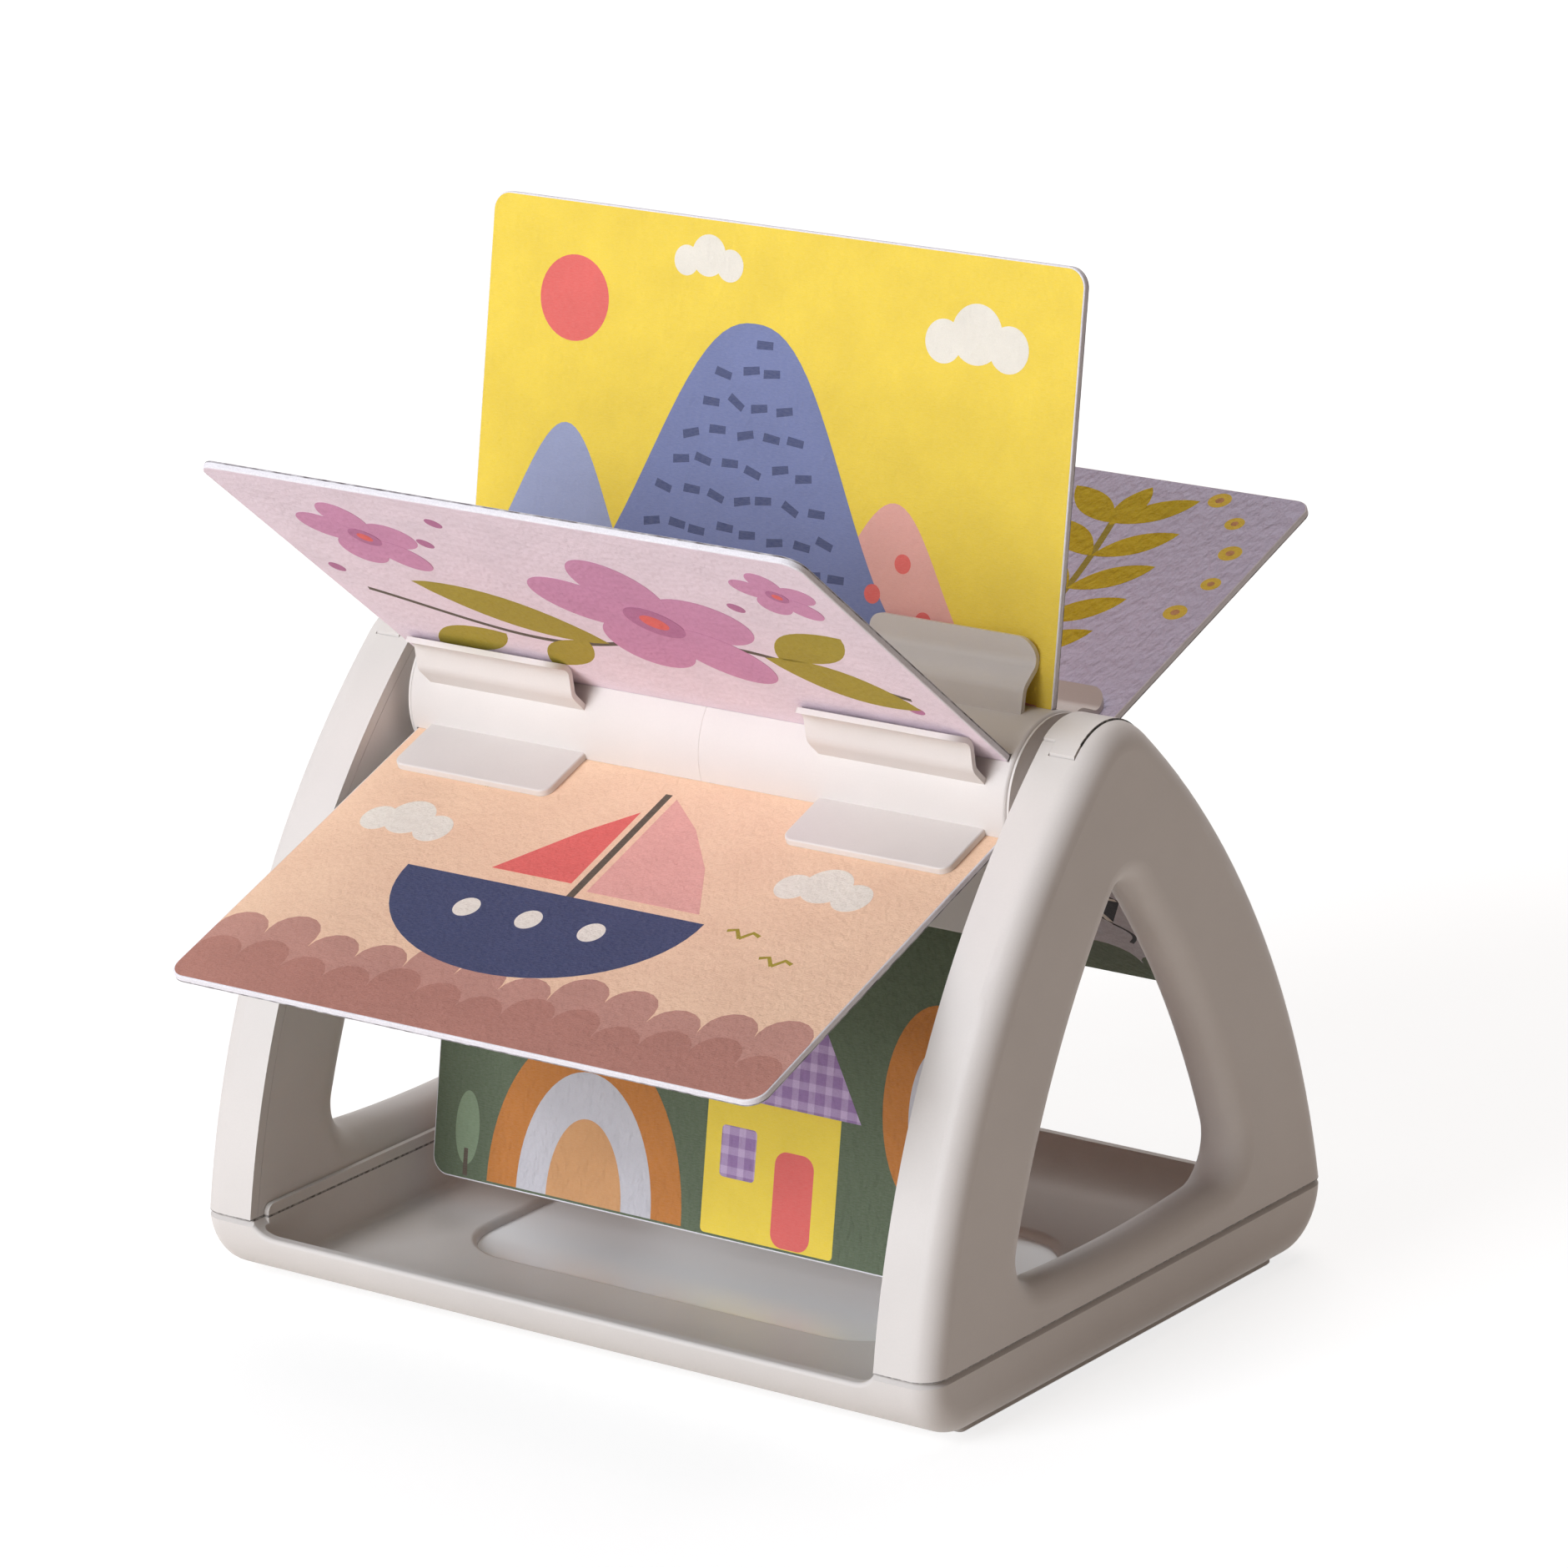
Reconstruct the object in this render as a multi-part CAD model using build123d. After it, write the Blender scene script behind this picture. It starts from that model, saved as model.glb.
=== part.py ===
from build123d import *
from collections import namedtuple
from math import hypot, sqrt
import os

# A carousel of double-sided picture cards for a baby lying on its front.
# The cards stand out of a drum that turns between two arches on a mirrored tray.
# X runs along the drum, -Y faces the baby, Z is up. The origin is on the floor
# under the middle of the drum. All sizes are in millimetres.

# Cards
card_count = 6
card_width = 150.0
card_thickness = 1.6
card_corner = 4.2
card_root_corner = 1.5
card_edge_round = 0.3
carousel_angle = -9.7

# Drum
drum_radius = 17.0
drum_length = 153.8
drum_wall = 2.4
card_slot_depth = 1.0
collar_length = 8.0
collar_wall = 2.0
joint_chamfer = 0.1

# Drum end caps
flange_thickness = 1.2
flange_round = 0.9
rim_radius = 16.5
rim_thickness = 0.5
spigot_length = 8.0
shoulder_radius = 9.0
journal_radius = 5.0
journal_bore = 3.0
journal_length = 8.0
journal_tip = 2.0
journal_chamfer = 0.5

# Clips that hold a card between a flat tab and a sprung tab
clip_width = 41.0
clip_centre = 50.5
clip_reach = 14.0
flat_tab_thickness = 1.6
flat_tab_corner = 2.5
flat_tab_round = 0.4
spring_tab_thickness = 1.2
spring_tab_corner = 4.0
spring_root_offset = 4.6
spring_neck_reach = 4.0
spring_pinch_reach = 8.6
spring_neck_drop = 0.4
spring_flare = 2.4
spring_bend = 3.0

# Arches
axis_height = 115.0
arch_gap = 160.6
arch_thickness = 14.0
arch_half_foot = 71.4
arch_leg_radius = 192.5
crown_radius = 15.2
crown_above_axis = 17.1
arch_wall = 2.4
arch_edge_radius = 5.5
opening_half_foot = 41.0
opening_leg_radius = 200.0
opening_apex_radius = 5.0
opening_apex_below_axis = 16.0
opening_sill_above_seam = 7.6
opening_sill_bow = 2.2
opening_corner = 7.0
opening_inner_round = 8.5
opening_outer_round = 5.0
opening_rim = 7.5
crown_block_below_axis = 12.0

# Bearing caps that close the drum's slots on top of the arches
cap_width = 8.9
cap_thickness = 1.4
cap_proud = 0.3
cap_front = 8.7
cap_back = 10.7
cap_step_width = 3.0
cap_step_length = 2.4
cap_tongue_above_axis = 3.0

# Tray
seam_height = 15.8
seam_gap = 0.5
seam_depth = 0.9
seam_chamfer = 0.8
tray_wall = 2.2
tray_floor = 4.2
floor_wall = 1.8
belly_radius = 14.2
well_edge = 1.2
lip_height = 12.6
lip_corner = 6.5
lip_round = 0.8
tray_side = 79.0
tongue_height = 2.4
tongue_round = 2.0
window_half_length = 57.0
window_half_width = 35.5
window_corner = 15.0
window_round = 1.5

# Mirror and bottom plate
mirror_margin = 4.0
mirror_thickness = 1.0
plate_thickness = 1.4
plate_half_length = 90.2
plate_half_width = 55.9
plate_corner = 1.5
hatch_corner = 6.0
plate_chamfer = 0.4
plate_flange = 2.6
rib_thickness = 1.5

# Screws
screw_radius = 1.5
screw_head_radius = 2.8
screw_head_height = 1.6
screw_head_round = 0.6
screw_sunk = 0.1
arch_screw_inset = 6.1
arch_screw_reach = 53.2
arch_screw_length = 13.0
arch_boss_radius = 4.0
boss_end = 1.0
plate_screw_inset = 7.8
plate_screw_reach = 34.0
plate_screw_length = 9.0
plate_boss_radius = 3.0

# Clearances
seat_gap = 0.1
running_gap = 0.05
cap_gap = 0.25
end_play = 0.4
press_gap = 0.02
screw_end_gap = 1.0
card_floor_clearance = 5.6

# How far joined solids run into each other and cuts run past a face
overlap = 1.0

# Sizes worked out from the ones above
arch_inner = arch_gap / 2
arch_outer = arch_inner + arch_thickness
drum_half = drum_length / 2
tube_half = drum_half - flange_thickness - rim_thickness
tube_bore = drum_radius - drum_wall
slot_radius = drum_radius - card_slot_depth
clip_start = clip_centre - clip_width / 2
card_face = card_thickness / 2
card_tip_radius = axis_height - tray_floor - card_floor_clearance
boss_top = seam_height - tray_wall
bearing_depth = journal_length + seat_gap
bearing_radius = journal_radius + running_gap
lip_run = sqrt(lip_corner**2 - (lip_corner - seam_height + lip_height) ** 2)
lip_reach = arch_inner + lip_corner - lip_run
lip_depth = 2 * tray_wall

arch_screw_places = [
    (side * (arch_outer - arch_screw_inset), end * arch_screw_reach) for side in (1, -1) for end in (1, -1)
]
plate_screw_places = [
    (side * (arch_outer - plate_screw_inset), end * plate_screw_reach) for side in (1, -1) for end in (1, -1)
]

Axle = Pos(0, 0, axis_height)
ArchForm = namedtuple("ArchForm", "leg_centre leg_radius crown_centre crown_radius")


def extrude_x(face, start, length):
    """Extrude a face drawn in (y, z) along the drum."""
    return extrude(Plane.YZ.offset(start) * face, length)


def extrude_up(face, start, length):
    """Extrude a face drawn in (x, y) upwards."""
    return extrude(Plane.XY.offset(start) * face, length)


def rod(radius, start, end):
    """A round rod on the drum's axis, which is the local X axis."""
    return extrude_x(Circle(radius), start, end - start)


def peg(radius, x, y, start, end):
    """An upright round peg."""
    return extrude_up(Pos(x, y) * Circle(radius), start, end - start)


def arch_form(half_foot, foot_height, top, top_radius, leg_radius):
    """A pointed arch: a crown arc that runs into two long leg arcs."""
    crown_y, crown_z = 0.0, top - top_radius
    span_y, span_z = half_foot - crown_y, foot_height - crown_z
    span = hypot(span_y, span_z)
    crown_distance = leg_radius - top_radius
    along = (crown_distance**2 - leg_radius**2 + span**2) / (2 * span)
    across = sqrt(crown_distance**2 - along**2)
    centre_y = crown_y + (along * span_y + across * span_z) / span
    centre_z = crown_z + (along * span_z - across * span_y) / span
    return ArchForm((centre_y, centre_z), leg_radius, (crown_y, crown_z), top_radius)


def arch_face(form, grow, bottom, bow=0.0, corner=0.0):
    """The arch's face in (y, z), grown by an even margin and cut off at a height."""
    leg_y, leg_z = form.leg_centre
    crown_y, crown_z = form.crown_centre
    leg = form.leg_radius + grow
    crown = form.crown_radius + grow
    foot = (leg_y + sqrt(leg**2 - (bottom - leg_z) ** 2), bottom)
    reach = hypot(crown_y - leg_y, crown_z - leg_z)
    shoulder = (
        crown_y + crown * (crown_y - leg_y) / reach,
        crown_z + crown * (crown_z - leg_z) / reach,
    )
    chord_y = (foot[0] + shoulder[0]) / 2 - leg_y
    chord_z = (foot[1] + shoulder[1]) / 2 - leg_z
    chord = hypot(chord_y, chord_z)
    middle = (leg_y + leg * chord_y / chord, leg_z + leg * chord_z / chord)
    right, left = [ThreePointArc(*((side * y, z) for y, z in (foot, middle, shoulder))) for side in (1, -1)]
    top = ThreePointArc(shoulder, (crown_y, crown_z + crown), (-shoulder[0], shoulder[1]))
    if bow:
        sill = ThreePointArc((-foot[0], bottom), (0, bottom - bow), foot)
    else:
        sill = Line((-foot[0], bottom), foot)
    face = make_face(Curve() + [right, top, left, sill])
    if corner:
        face = fillet(face.vertices().group_by(Axis.Y)[0], corner)
    return face


outer_form = arch_form(
    arch_half_foot,
    seam_height,
    axis_height + crown_above_axis,
    crown_radius,
    arch_leg_radius,
)
sill_height = seam_height + opening_sill_above_seam + opening_sill_bow
opening_form = arch_form(
    opening_half_foot,
    sill_height,
    axis_height - opening_apex_below_axis,
    opening_apex_radius,
    opening_leg_radius,
)


def opening_face(grow=0.0):
    return arch_face(opening_form, grow, sill_height - grow, opening_sill_bow, opening_corner + grow)


def crown_band(top, bottom, front, back):
    """A band along the crown, in (y, z), between two offsets from the arch's outline."""
    outside = arch_face(outer_form, top, seam_height)
    inside = arch_face(outer_form, bottom, seam_height)
    window = Pos((front + back) / 2, axis_height + crown_radius) * Rectangle(back - front, 2 * crown_radius)
    return (outside - inside) & window


def cap_saddle(top, bottom, margin):
    """The saddle over the crown, stepped at its front end and grown by a margin."""
    front, back = -cap_front - margin, cap_back + margin
    wide = extrude_x(crown_band(top, bottom, front, back), arch_inner, cap_width + margin)
    step = extrude_x(
        crown_band(top, bottom, front - cap_step_length, front + overlap),
        arch_inner + cap_step_width - margin,
        cap_width - cap_step_width + 2 * margin,
    )
    return wide + step


def bearing_slot(radius, start, depth):
    """The slot that the journal drops into, from its round bottom to the top."""
    round_end = Pos(0, axis_height) * Circle(radius)
    shaft = Pos(0, axis_height + crown_radius) * Rectangle(2 * radius, 2 * crown_radius)
    return extrude_x(round_end + shaft, start, depth)


def arch_solid():
    """The right arch as one closed form, with its softly rounded opening."""
    blank = extrude_x(arch_face(outer_form, 0, seam_height) - opening_face(), arch_inner, arch_thickness)
    inner_face = blank.faces().sort_by(Axis.X)[0]
    blank = fillet(inner_face.inner_wires()[0].edges(), opening_inner_round)
    outer_face = blank.faces().sort_by(Axis.X)[-1]
    blank = fillet(outer_face.inner_wires()[0].edges(), opening_outer_round)
    outer_face = blank.faces().sort_by(Axis.X)[-1]
    foot_edges = outer_face.edges().filter_by_position(Axis.Z, seam_height - overlap, seam_height + overlap)
    rim_edges = outer_face.outer_wire().edges() - foot_edges
    return fillet(rim_edges, arch_edge_radius)


def arch_parts():
    """The right arch's outer shell and the panel that closes it on the inside."""
    solid = arch_solid()
    hollow_top = axis_height - crown_block_below_axis
    hollow_face = arch_face(outer_form, -arch_wall, seam_height) - opening_face(opening_rim)
    below_crown = Pos(0, seam_height + (hollow_top - seam_height) / 2) * Rectangle(
        2 * arch_half_foot, hollow_top - seam_height
    )
    hollow = extrude_x(hollow_face & below_crown, arch_inner + arch_wall, arch_thickness - 2 * arch_wall)
    parting = arch_inner + (opening_inner_round + arch_thickness - opening_outer_round) / 2
    rim = extrude_x(opening_face(opening_rim), arch_inner, parting - arch_inner)
    plate = extrude_x(arch_face(outer_form, -arch_wall, seam_height), arch_inner, arch_wall)
    loose_plate = extrude_x(
        arch_face(outer_form, -arch_wall - seat_gap, seam_height), arch_inner, arch_wall
    )
    seat = cap_saddle(crown_radius, -cap_thickness, cap_gap)
    cuts = [hollow, seat, bearing_slot(bearing_radius, arch_inner, bearing_depth)]
    shell = solid - plate - rim
    panel = solid & (loose_plate + rim)
    for cut in cuts:
        shell = shell - cut
        panel = panel - cut
    hole_top = seam_height + arch_screw_length
    for x, y in arch_screw_places:
        if x > 0:
            shell = shell + peg(arch_boss_radius, x, y, seam_height, hole_top + boss_end)
            shell = shell - peg(screw_radius + running_gap, x, y, seam_height, hole_top)
    return shell, panel


def bearing_cap():
    """A snap-in saddle over the right arch with a tongue down to the journal."""
    start = axis_height + cap_tongue_above_axis
    tongue_face = Pos(0, start + crown_radius / 2) * Rectangle(2 * (bearing_radius - seat_gap), crown_radius)
    tongue_face = tongue_face & arch_face(outer_form, -cap_thickness / 2, seam_height)
    tongue_face = tongue_face - Pos(0, axis_height) * Circle(bearing_radius)
    tongue = extrude_x(tongue_face, arch_inner, journal_length)
    return cap_saddle(cap_proud, running_gap - cap_thickness, 0) + tongue


def tray_form(half_x, half_y, bottom, top, belly, edge):
    """A tub with a large round under its front and back and softer sides."""
    blank_top = top + belly
    outline = Pos(0, (bottom + blank_top) / 2) * Rectangle(2 * half_y, blank_top - bottom)
    outline = fillet(outline.vertices().group_by(Axis.Y)[0], belly)
    tub = extrude_x(outline, -half_x, 2 * half_x)
    side_edges = []
    for face in (tub.faces().sort_by(Axis.X)[0], tub.faces().sort_by(Axis.X)[-1]):
        top_edge = face.edges().sort_by(Axis.Z)[-1:]
        side_edges += face.edges() - top_edge
    below_top = extrude_up(Rectangle(3 * half_x, 3 * half_y), bottom - overlap, top - bottom + overlap)
    return fillet(side_edges, edge) & below_top


def rounded_plan(half_x, half_y, corner):
    return RectangleRounded(2 * half_x, 2 * half_y, corner)


def inside_window(edge):
    """Whether an edge lies on the rim of the window in the tray's floor."""
    middle = edge.position_at(0.5)
    return abs(middle.X) < window_half_length + overlap and abs(middle.Y) < window_half_width + overlap


def tray():
    """The tray: an open tub over a hollow underside, with a window in its floor."""
    top = seam_height - seam_gap
    body = tray_form(arch_outer, arch_half_foot, plate_thickness, top, belly_radius, arch_edge_radius)
    body = chamfer(body.faces().sort_by(Axis.Z)[-1].edges(), seam_chamfer)
    neck = tray_form(
        arch_outer - seam_depth,
        arch_half_foot - seam_depth,
        plate_thickness,
        seam_height,
        belly_radius,
        arch_edge_radius - seam_depth,
    )
    body = body + (neck & extrude_up(Rectangle(3 * arch_outer, 3 * arch_outer), top - overlap, 2 * overlap))
    underside = tray_form(
        arch_outer - tray_wall,
        arch_half_foot - tray_wall,
        plate_thickness + tray_wall,
        boss_top,
        belly_radius - tray_wall,
        arch_edge_radius - tray_wall,
    )
    hatch = rounded_plan(plate_half_length - plate_flange, plate_half_width - plate_flange, hatch_corner)
    underside = underside + extrude_up(hatch, plate_thickness, tray_wall + overlap)
    well_top = seam_height + tongue_height + overlap
    well_y = arch_half_foot - tray_wall
    well_belly = belly_radius - tray_wall
    well = tray_form(tray_side, well_y, tray_floor, well_top, well_belly, well_edge)
    well_wall = tray_form(
        tray_side + tray_wall,
        well_y + tray_wall,
        tray_floor - floor_wall,
        well_top,
        well_belly + tray_wall,
        well_edge + tray_wall,
    )
    body = body - (underside - well_wall)
    for x, y in plate_screw_places:
        body = body + peg(plate_boss_radius, x, y, plate_thickness, boss_top)
    tongue_width = arch_inner - seat_gap - tray_side
    rail = Pos(0, seam_height) * Rectangle(2 * (arch_half_foot - lip_depth), 2 * tongue_height)
    rail = fillet(rail.vertices().group_by(Axis.Y)[-1], tongue_round)
    for start in (tray_side, -tray_side - tongue_width):
        body = body + extrude_x(rail, start, tongue_width)
    body = body - well
    cut_down = Pos(0, lip_height + crown_radius) * RectangleRounded(
        2 * lip_reach, 2 * crown_radius, lip_corner
    )
    for start in (arch_half_foot - lip_depth, -arch_half_foot - lip_depth):
        body = body - extrude(Plane.XZ.offset(start) * cut_down, 2 * lip_depth)
    lip_edges = body.edges().filter_by(Axis.X).filter_by_position(
        Axis.Z, lip_height - seat_gap, lip_height + seat_gap
    )
    outer_lips = [lip_edges.sort_by(Axis.Y)[0], lip_edges.sort_by(Axis.Y)[-1]]
    body = fillet(outer_lips, lip_round)
    window = rounded_plan(window_half_length, window_half_width, window_corner)
    body = body - extrude_up(window, plate_thickness, tray_floor)
    floor_edges = body.edges().filter_by_position(Axis.Z, tray_floor - seat_gap, tray_floor + seat_gap)
    body = fillet(floor_edges.filter_by(inside_window), window_round)
    rib_in = mirror_margin + seat_gap
    rib = rounded_plan(
        window_half_length + rib_in + rib_thickness,
        window_half_width + rib_in + rib_thickness,
        window_corner + rib_in + rib_thickness,
    ) - rounded_plan(window_half_length + rib_in, window_half_width + rib_in, window_corner + rib_in)
    body = body + extrude_up(rib, plate_thickness, tray_floor - floor_wall - plate_thickness)
    for x, y in arch_screw_places:
        body = body - peg(screw_radius + seat_gap, x, y, plate_thickness, seam_height + overlap)
    for x, y in plate_screw_places:
        hole_top = plate_thickness + plate_screw_length
        body = body - peg(screw_radius + running_gap, x, y, plate_thickness, hole_top)
    return body


def bottom_plate():
    """The plate under the tray, with countersunk screw holes."""
    plate = extrude_up(rounded_plan(plate_half_length, plate_half_width, plate_corner), 0, plate_thickness)
    plate = chamfer(plate.faces().sort_by(Axis.Z)[0].edges(), plate_chamfer)
    for x, y in plate_screw_places:
        plate = plate - Pos(x, y, plate_thickness / 2) * Cone(
            screw_head_radius + seat_gap, screw_radius + seat_gap, plate_thickness
        )
    return plate


def mirror_sheet():
    plan = rounded_plan(
        window_half_length + mirror_margin, window_half_width + mirror_margin, window_corner + mirror_margin
    )
    return extrude_up(plan, plate_thickness, mirror_thickness)


def arch_screws():
    """Pan-head screws that hold the arches down from inside the tray."""
    screws = []
    for x, y in arch_screw_places:
        shank = peg(screw_radius, x, y, boss_top, seam_height + arch_screw_length - screw_end_gap)
        head = peg(screw_head_radius, x, y, boss_top - screw_head_height, boss_top)
        head = fillet(head.faces().sort_by(Axis.Z)[0].edges(), screw_head_round)
        screws.append(head + shank)
    return Compound(screws)


def plate_screws():
    """Countersunk screws that hold the bottom plate."""
    screws = []
    cone_height = plate_thickness - screw_sunk
    shank_top = plate_thickness + plate_screw_length - screw_end_gap
    for x, y in plate_screw_places:
        head = Pos(x, y, screw_sunk + cone_height / 2) * Cone(screw_head_radius, screw_radius, cone_height)
        screws.append(head + peg(screw_radius, x, y, plate_thickness, shank_top))
    return Compound(screws)


def clip_plan(corner):
    """The outline of a clip tab, seen square to its card, as a tall prism."""
    root = tube_bore + drum_wall / 3
    tip = drum_radius + clip_reach
    sheet = Pos(clip_centre, (root + tip) / 2) * Rectangle(clip_width, tip - root)
    sheet = fillet(sheet.vertices().group_by(Axis.Y)[-1], corner)
    return extrude_up(sheet, -drum_radius, 2 * drum_radius)


def flat_tab():
    """The stiff tab behind a card."""
    slab = Pos(clip_centre, drum_radius, -card_face - flat_tab_thickness / 2) * Box(
        clip_width, 4 * drum_radius, flat_tab_thickness
    )
    tab = clip_plan(flat_tab_corner) & slab
    outer_rim = tab.faces().sort_by(Axis.Z)[0].edges() - tab.faces().sort_by(Axis.Y)[0].edges()
    return fillet(outer_rim, flat_tab_round)


def spring_tab():
    """The S-shaped tab that pinches a card and flares out at its tip."""
    path = FilletPolyline(
        (drum_radius - drum_wall, spring_root_offset),
        (drum_radius + spring_neck_reach, spring_root_offset - spring_neck_drop),
        (drum_radius + spring_pinch_reach, 0),
        (drum_radius + clip_reach + overlap, spring_flare),
        radius=spring_bend,
    )
    strip = trace(path, spring_tab_thickness)
    pinch = strip.bounding_box().min.Y
    strip = Pos(0, card_face + running_gap - pinch) * strip
    return clip_plan(spring_tab_corner) & extrude_x(strip, clip_start, clip_width)


def card_angles():
    step = 360 / card_count
    return [step / 2 + step * number + carousel_angle for number in range(card_count)]


def drum_half_right():
    """One half of the drum, with its slots for the cards and its clips."""
    tube = rod(drum_radius, 0, tube_half)
    tube = chamfer(tube.edges().sort_by(Axis.X)[0], joint_chamfer) - rod(tube_bore, 0, tube_half)
    clips = [flat_tab(), spring_tab()]
    slot_width = card_thickness + 2 * seat_gap
    slot = Pos(tube_half / 2, slot_radius + drum_radius / 2) * Box(tube_half, drum_radius, slot_width)
    for angle in card_angles():
        for clip in clips:
            tube = tube + Rot(angle, 0, 0) * clip
    for angle in card_angles():
        tube = tube - Rot(angle, 0, 0) * slot
    return tube


def joining_collar():
    """The ring inside the left half that the right half slides onto."""
    fixed = rod(tube_bore + drum_wall / 4, -collar_length, -overlap)
    free = rod(tube_bore - press_gap, -collar_length, collar_length)
    return fixed + free - rod(tube_bore - collar_wall, -collar_length, collar_length)


def end_cap():
    """The right end cap: a spigot in the drum, a shoulder and a journal."""
    flange = rod(drum_radius, tube_half, tube_half + flange_thickness)
    flange = fillet(flange.faces().sort_by(Axis.X)[-1].edges(), flange_round)
    rim = rod(rim_radius, tube_half + flange_thickness, drum_half)
    spigot = rod(tube_bore - press_gap, tube_half - spigot_length, tube_half)
    spigot = spigot - rod(tube_bore - collar_wall, tube_half - spigot_length, tube_half)
    shoulder = rod(shoulder_radius, drum_half, arch_inner - end_play)
    journal_end = arch_inner + journal_length - end_play / 2
    journal = rod(journal_radius, drum_half, journal_end)
    journal = chamfer(journal.faces().sort_by(Axis.X)[-1].edges(), journal_chamfer)
    plug = flange + rim + spigot + shoulder + journal
    return plug - rod(journal_bore, tube_half, journal_end - journal_tip)


def card_sheet():
    """One card, lying along +Y from the drum's axis."""
    inner = slot_radius + seat_gap
    middle = (inner + card_tip_radius) / 2
    sheet = Pos(0, middle) * Rectangle(card_width, card_tip_radius - inner)
    rows = sheet.vertices().group_by(Axis.Y)
    sheet = fillet(rows[-1], card_corner)
    sheet = fillet(sheet.vertices().group_by(Axis.Y)[0], card_root_corner)
    board = extrude_up(sheet, -card_face, card_thickness)
    return fillet(board.edges() - board.edges().filter_by(Axis.Z), card_edge_round)


def left_of(shape):
    """The same piece on the other side of the object."""
    return mirror(shape, about=Plane.YZ)


def save(name, shape):
    export_step(shape, f"parts/{name}.step")


os.makedirs("parts", exist_ok=True)

save("tray", tray())
save("bottom_plate", bottom_plate())
save("mirror", mirror_sheet())
save("arch_screws", arch_screws())
save("plate_screws", plate_screws())

arch_shell, arch_panel = arch_parts()
right_cap = bearing_cap()
save("right_arch_shell", arch_shell)
save("left_arch_shell", left_of(arch_shell))
save("right_arch_panel", arch_panel)
save("left_arch_panel", left_of(arch_panel))
save("right_bearing_cap", right_cap)
save("left_bearing_cap", left_of(right_cap))

right_half = drum_half_right()
right_end = end_cap()
save("right_drum_half", Axle * right_half)
save("left_drum_half", Axle * (left_of(right_half) + joining_collar()))
save("right_drum_end", Axle * right_end)
save("left_drum_end", Axle * left_of(right_end))

card = card_sheet()
card_names = [
    "card_back_upper",
    "card_top",
    "card_front_upper",
    "card_front_lower",
    "card_bottom",
    "card_back_lower",
]
for name, angle in zip(card_names, card_angles()):
    save(name, Axle * Rot(angle, 0, 0) * card)
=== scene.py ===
import math
import random

import bmesh
import bpy
from mathutils import Matrix, Vector


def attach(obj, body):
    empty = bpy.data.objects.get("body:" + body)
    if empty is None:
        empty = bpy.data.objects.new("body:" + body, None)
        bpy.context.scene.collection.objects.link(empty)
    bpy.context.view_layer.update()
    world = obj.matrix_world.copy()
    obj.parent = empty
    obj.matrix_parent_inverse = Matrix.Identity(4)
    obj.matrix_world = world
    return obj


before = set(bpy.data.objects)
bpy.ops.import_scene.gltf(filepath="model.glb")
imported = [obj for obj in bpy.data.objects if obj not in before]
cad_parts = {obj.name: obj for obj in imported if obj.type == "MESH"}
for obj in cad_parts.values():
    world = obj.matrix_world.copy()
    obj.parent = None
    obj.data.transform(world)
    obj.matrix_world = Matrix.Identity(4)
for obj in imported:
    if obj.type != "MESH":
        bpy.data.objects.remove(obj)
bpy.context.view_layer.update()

# Sizes in millimetres, as the parts are built
MM = 0.001
AXIS_HEIGHT = 115.0
CARD_HALF_WIDTH = 75.0
CARD_TIP = 105.2
CARD_ROOT = 17.0
CARD_FACE = 0.8
CARD_CORNER = 4.2
SEAM_HEIGHT = 15.75
CAP_SIDE = 89.3
CAP_MIDDLE = 1.0
CAP_HALF_LENGTH = 9.8
CROWN_LOW = 126.0
CARD_ANGLES = {
    "card_back_upper": 20.3,
    "card_top": 80.3,
    "card_front_upper": 140.3,
    "card_front_lower": 200.3,
    "card_bottom": 260.3,
    "card_back_lower": 320.3,
}

# Cards whose glue line lies towards the side that faces rising angles
GLUE_ON_RISING_SIDE = ("card_front_lower", "card_bottom", "card_back_lower")

# Half-widths of the fine dark lines: dark up to the first, gone by the second. The seam and cap lines are
# painted shade in the gaps between parts
SEAM_SHADE_LINE = (0.18, 0.3)
CAP_SHADE_LINE = (0.16, 0.26)
GLUE_LINE = (0.1, 0.24)
GLUE_DEPTH = 0.52

# How the prints lie on the boards
PRINT_INSET = 0.35
PRINT_BASE = 0.03
PRINT_STEP = 0.012
PRINT_ROOT = 16.4

# The camera, as fitted to the photograph
IMAGE_SIDE = 1880
FOCAL_PIXELS = 8888.8
SENSOR_WIDTH = 36.0
AZIMUTH, ELEVATION, ROLL = 37.29, 17.04, -1.855
DISTANCE = 1523.4
SLIDE_RIGHT, SLIDE_UP = -7.287, 9.486
CLIP_NEAR, CLIP_FAR = 0.05, 50.0

# The floor, in metres. Its glow grows from the object outwards, so that it shows white
FLOOR_HALF_SIDE = 6.0
FLOOR_CELLS = 8
FLOOR_DROP = 0.0002
FLOOR_COLOUR = (0.90, 0.84, 0.77, 1.0)
FLOOR_SEEN_COLOUR = (0.4, 0.4, 0.4, 1.0)
FLOOR_GLOW_NEAR, FLOOR_GLOW_FAR = 0.78, 0.94
FLOOR_NEAR, FLOOR_FAR = 0.2, 1.6

# Lamps: name, watts, size, place, target and colour, in metres
LAMPS = [
    ("key", 95.0, (1.6, 2.0), (-0.82, -3.1, 1.6), (0.0, 0.0, 0.115), (0.88, 0.935, 1.0)),
    ("low", 8.5, (1.2, 0.8), (-0.2, -1.6, 0.03), (0.0, 0.0, 0.15), (1.0, 0.99, 1.0)),
    ("top", 17.0, (1.2, 2.0), (-0.35, 0.75, 1.8), (0.0, 0.0, 0.115), (1.0, 0.97, 0.96)),
]
ROOM_COLOUR = (1.0, 0.62, 0.4, 1.0)
ROOM_STRENGTH = 0.08
WHITE = (1.0, 1.0, 1.0, 1.0)


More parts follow.
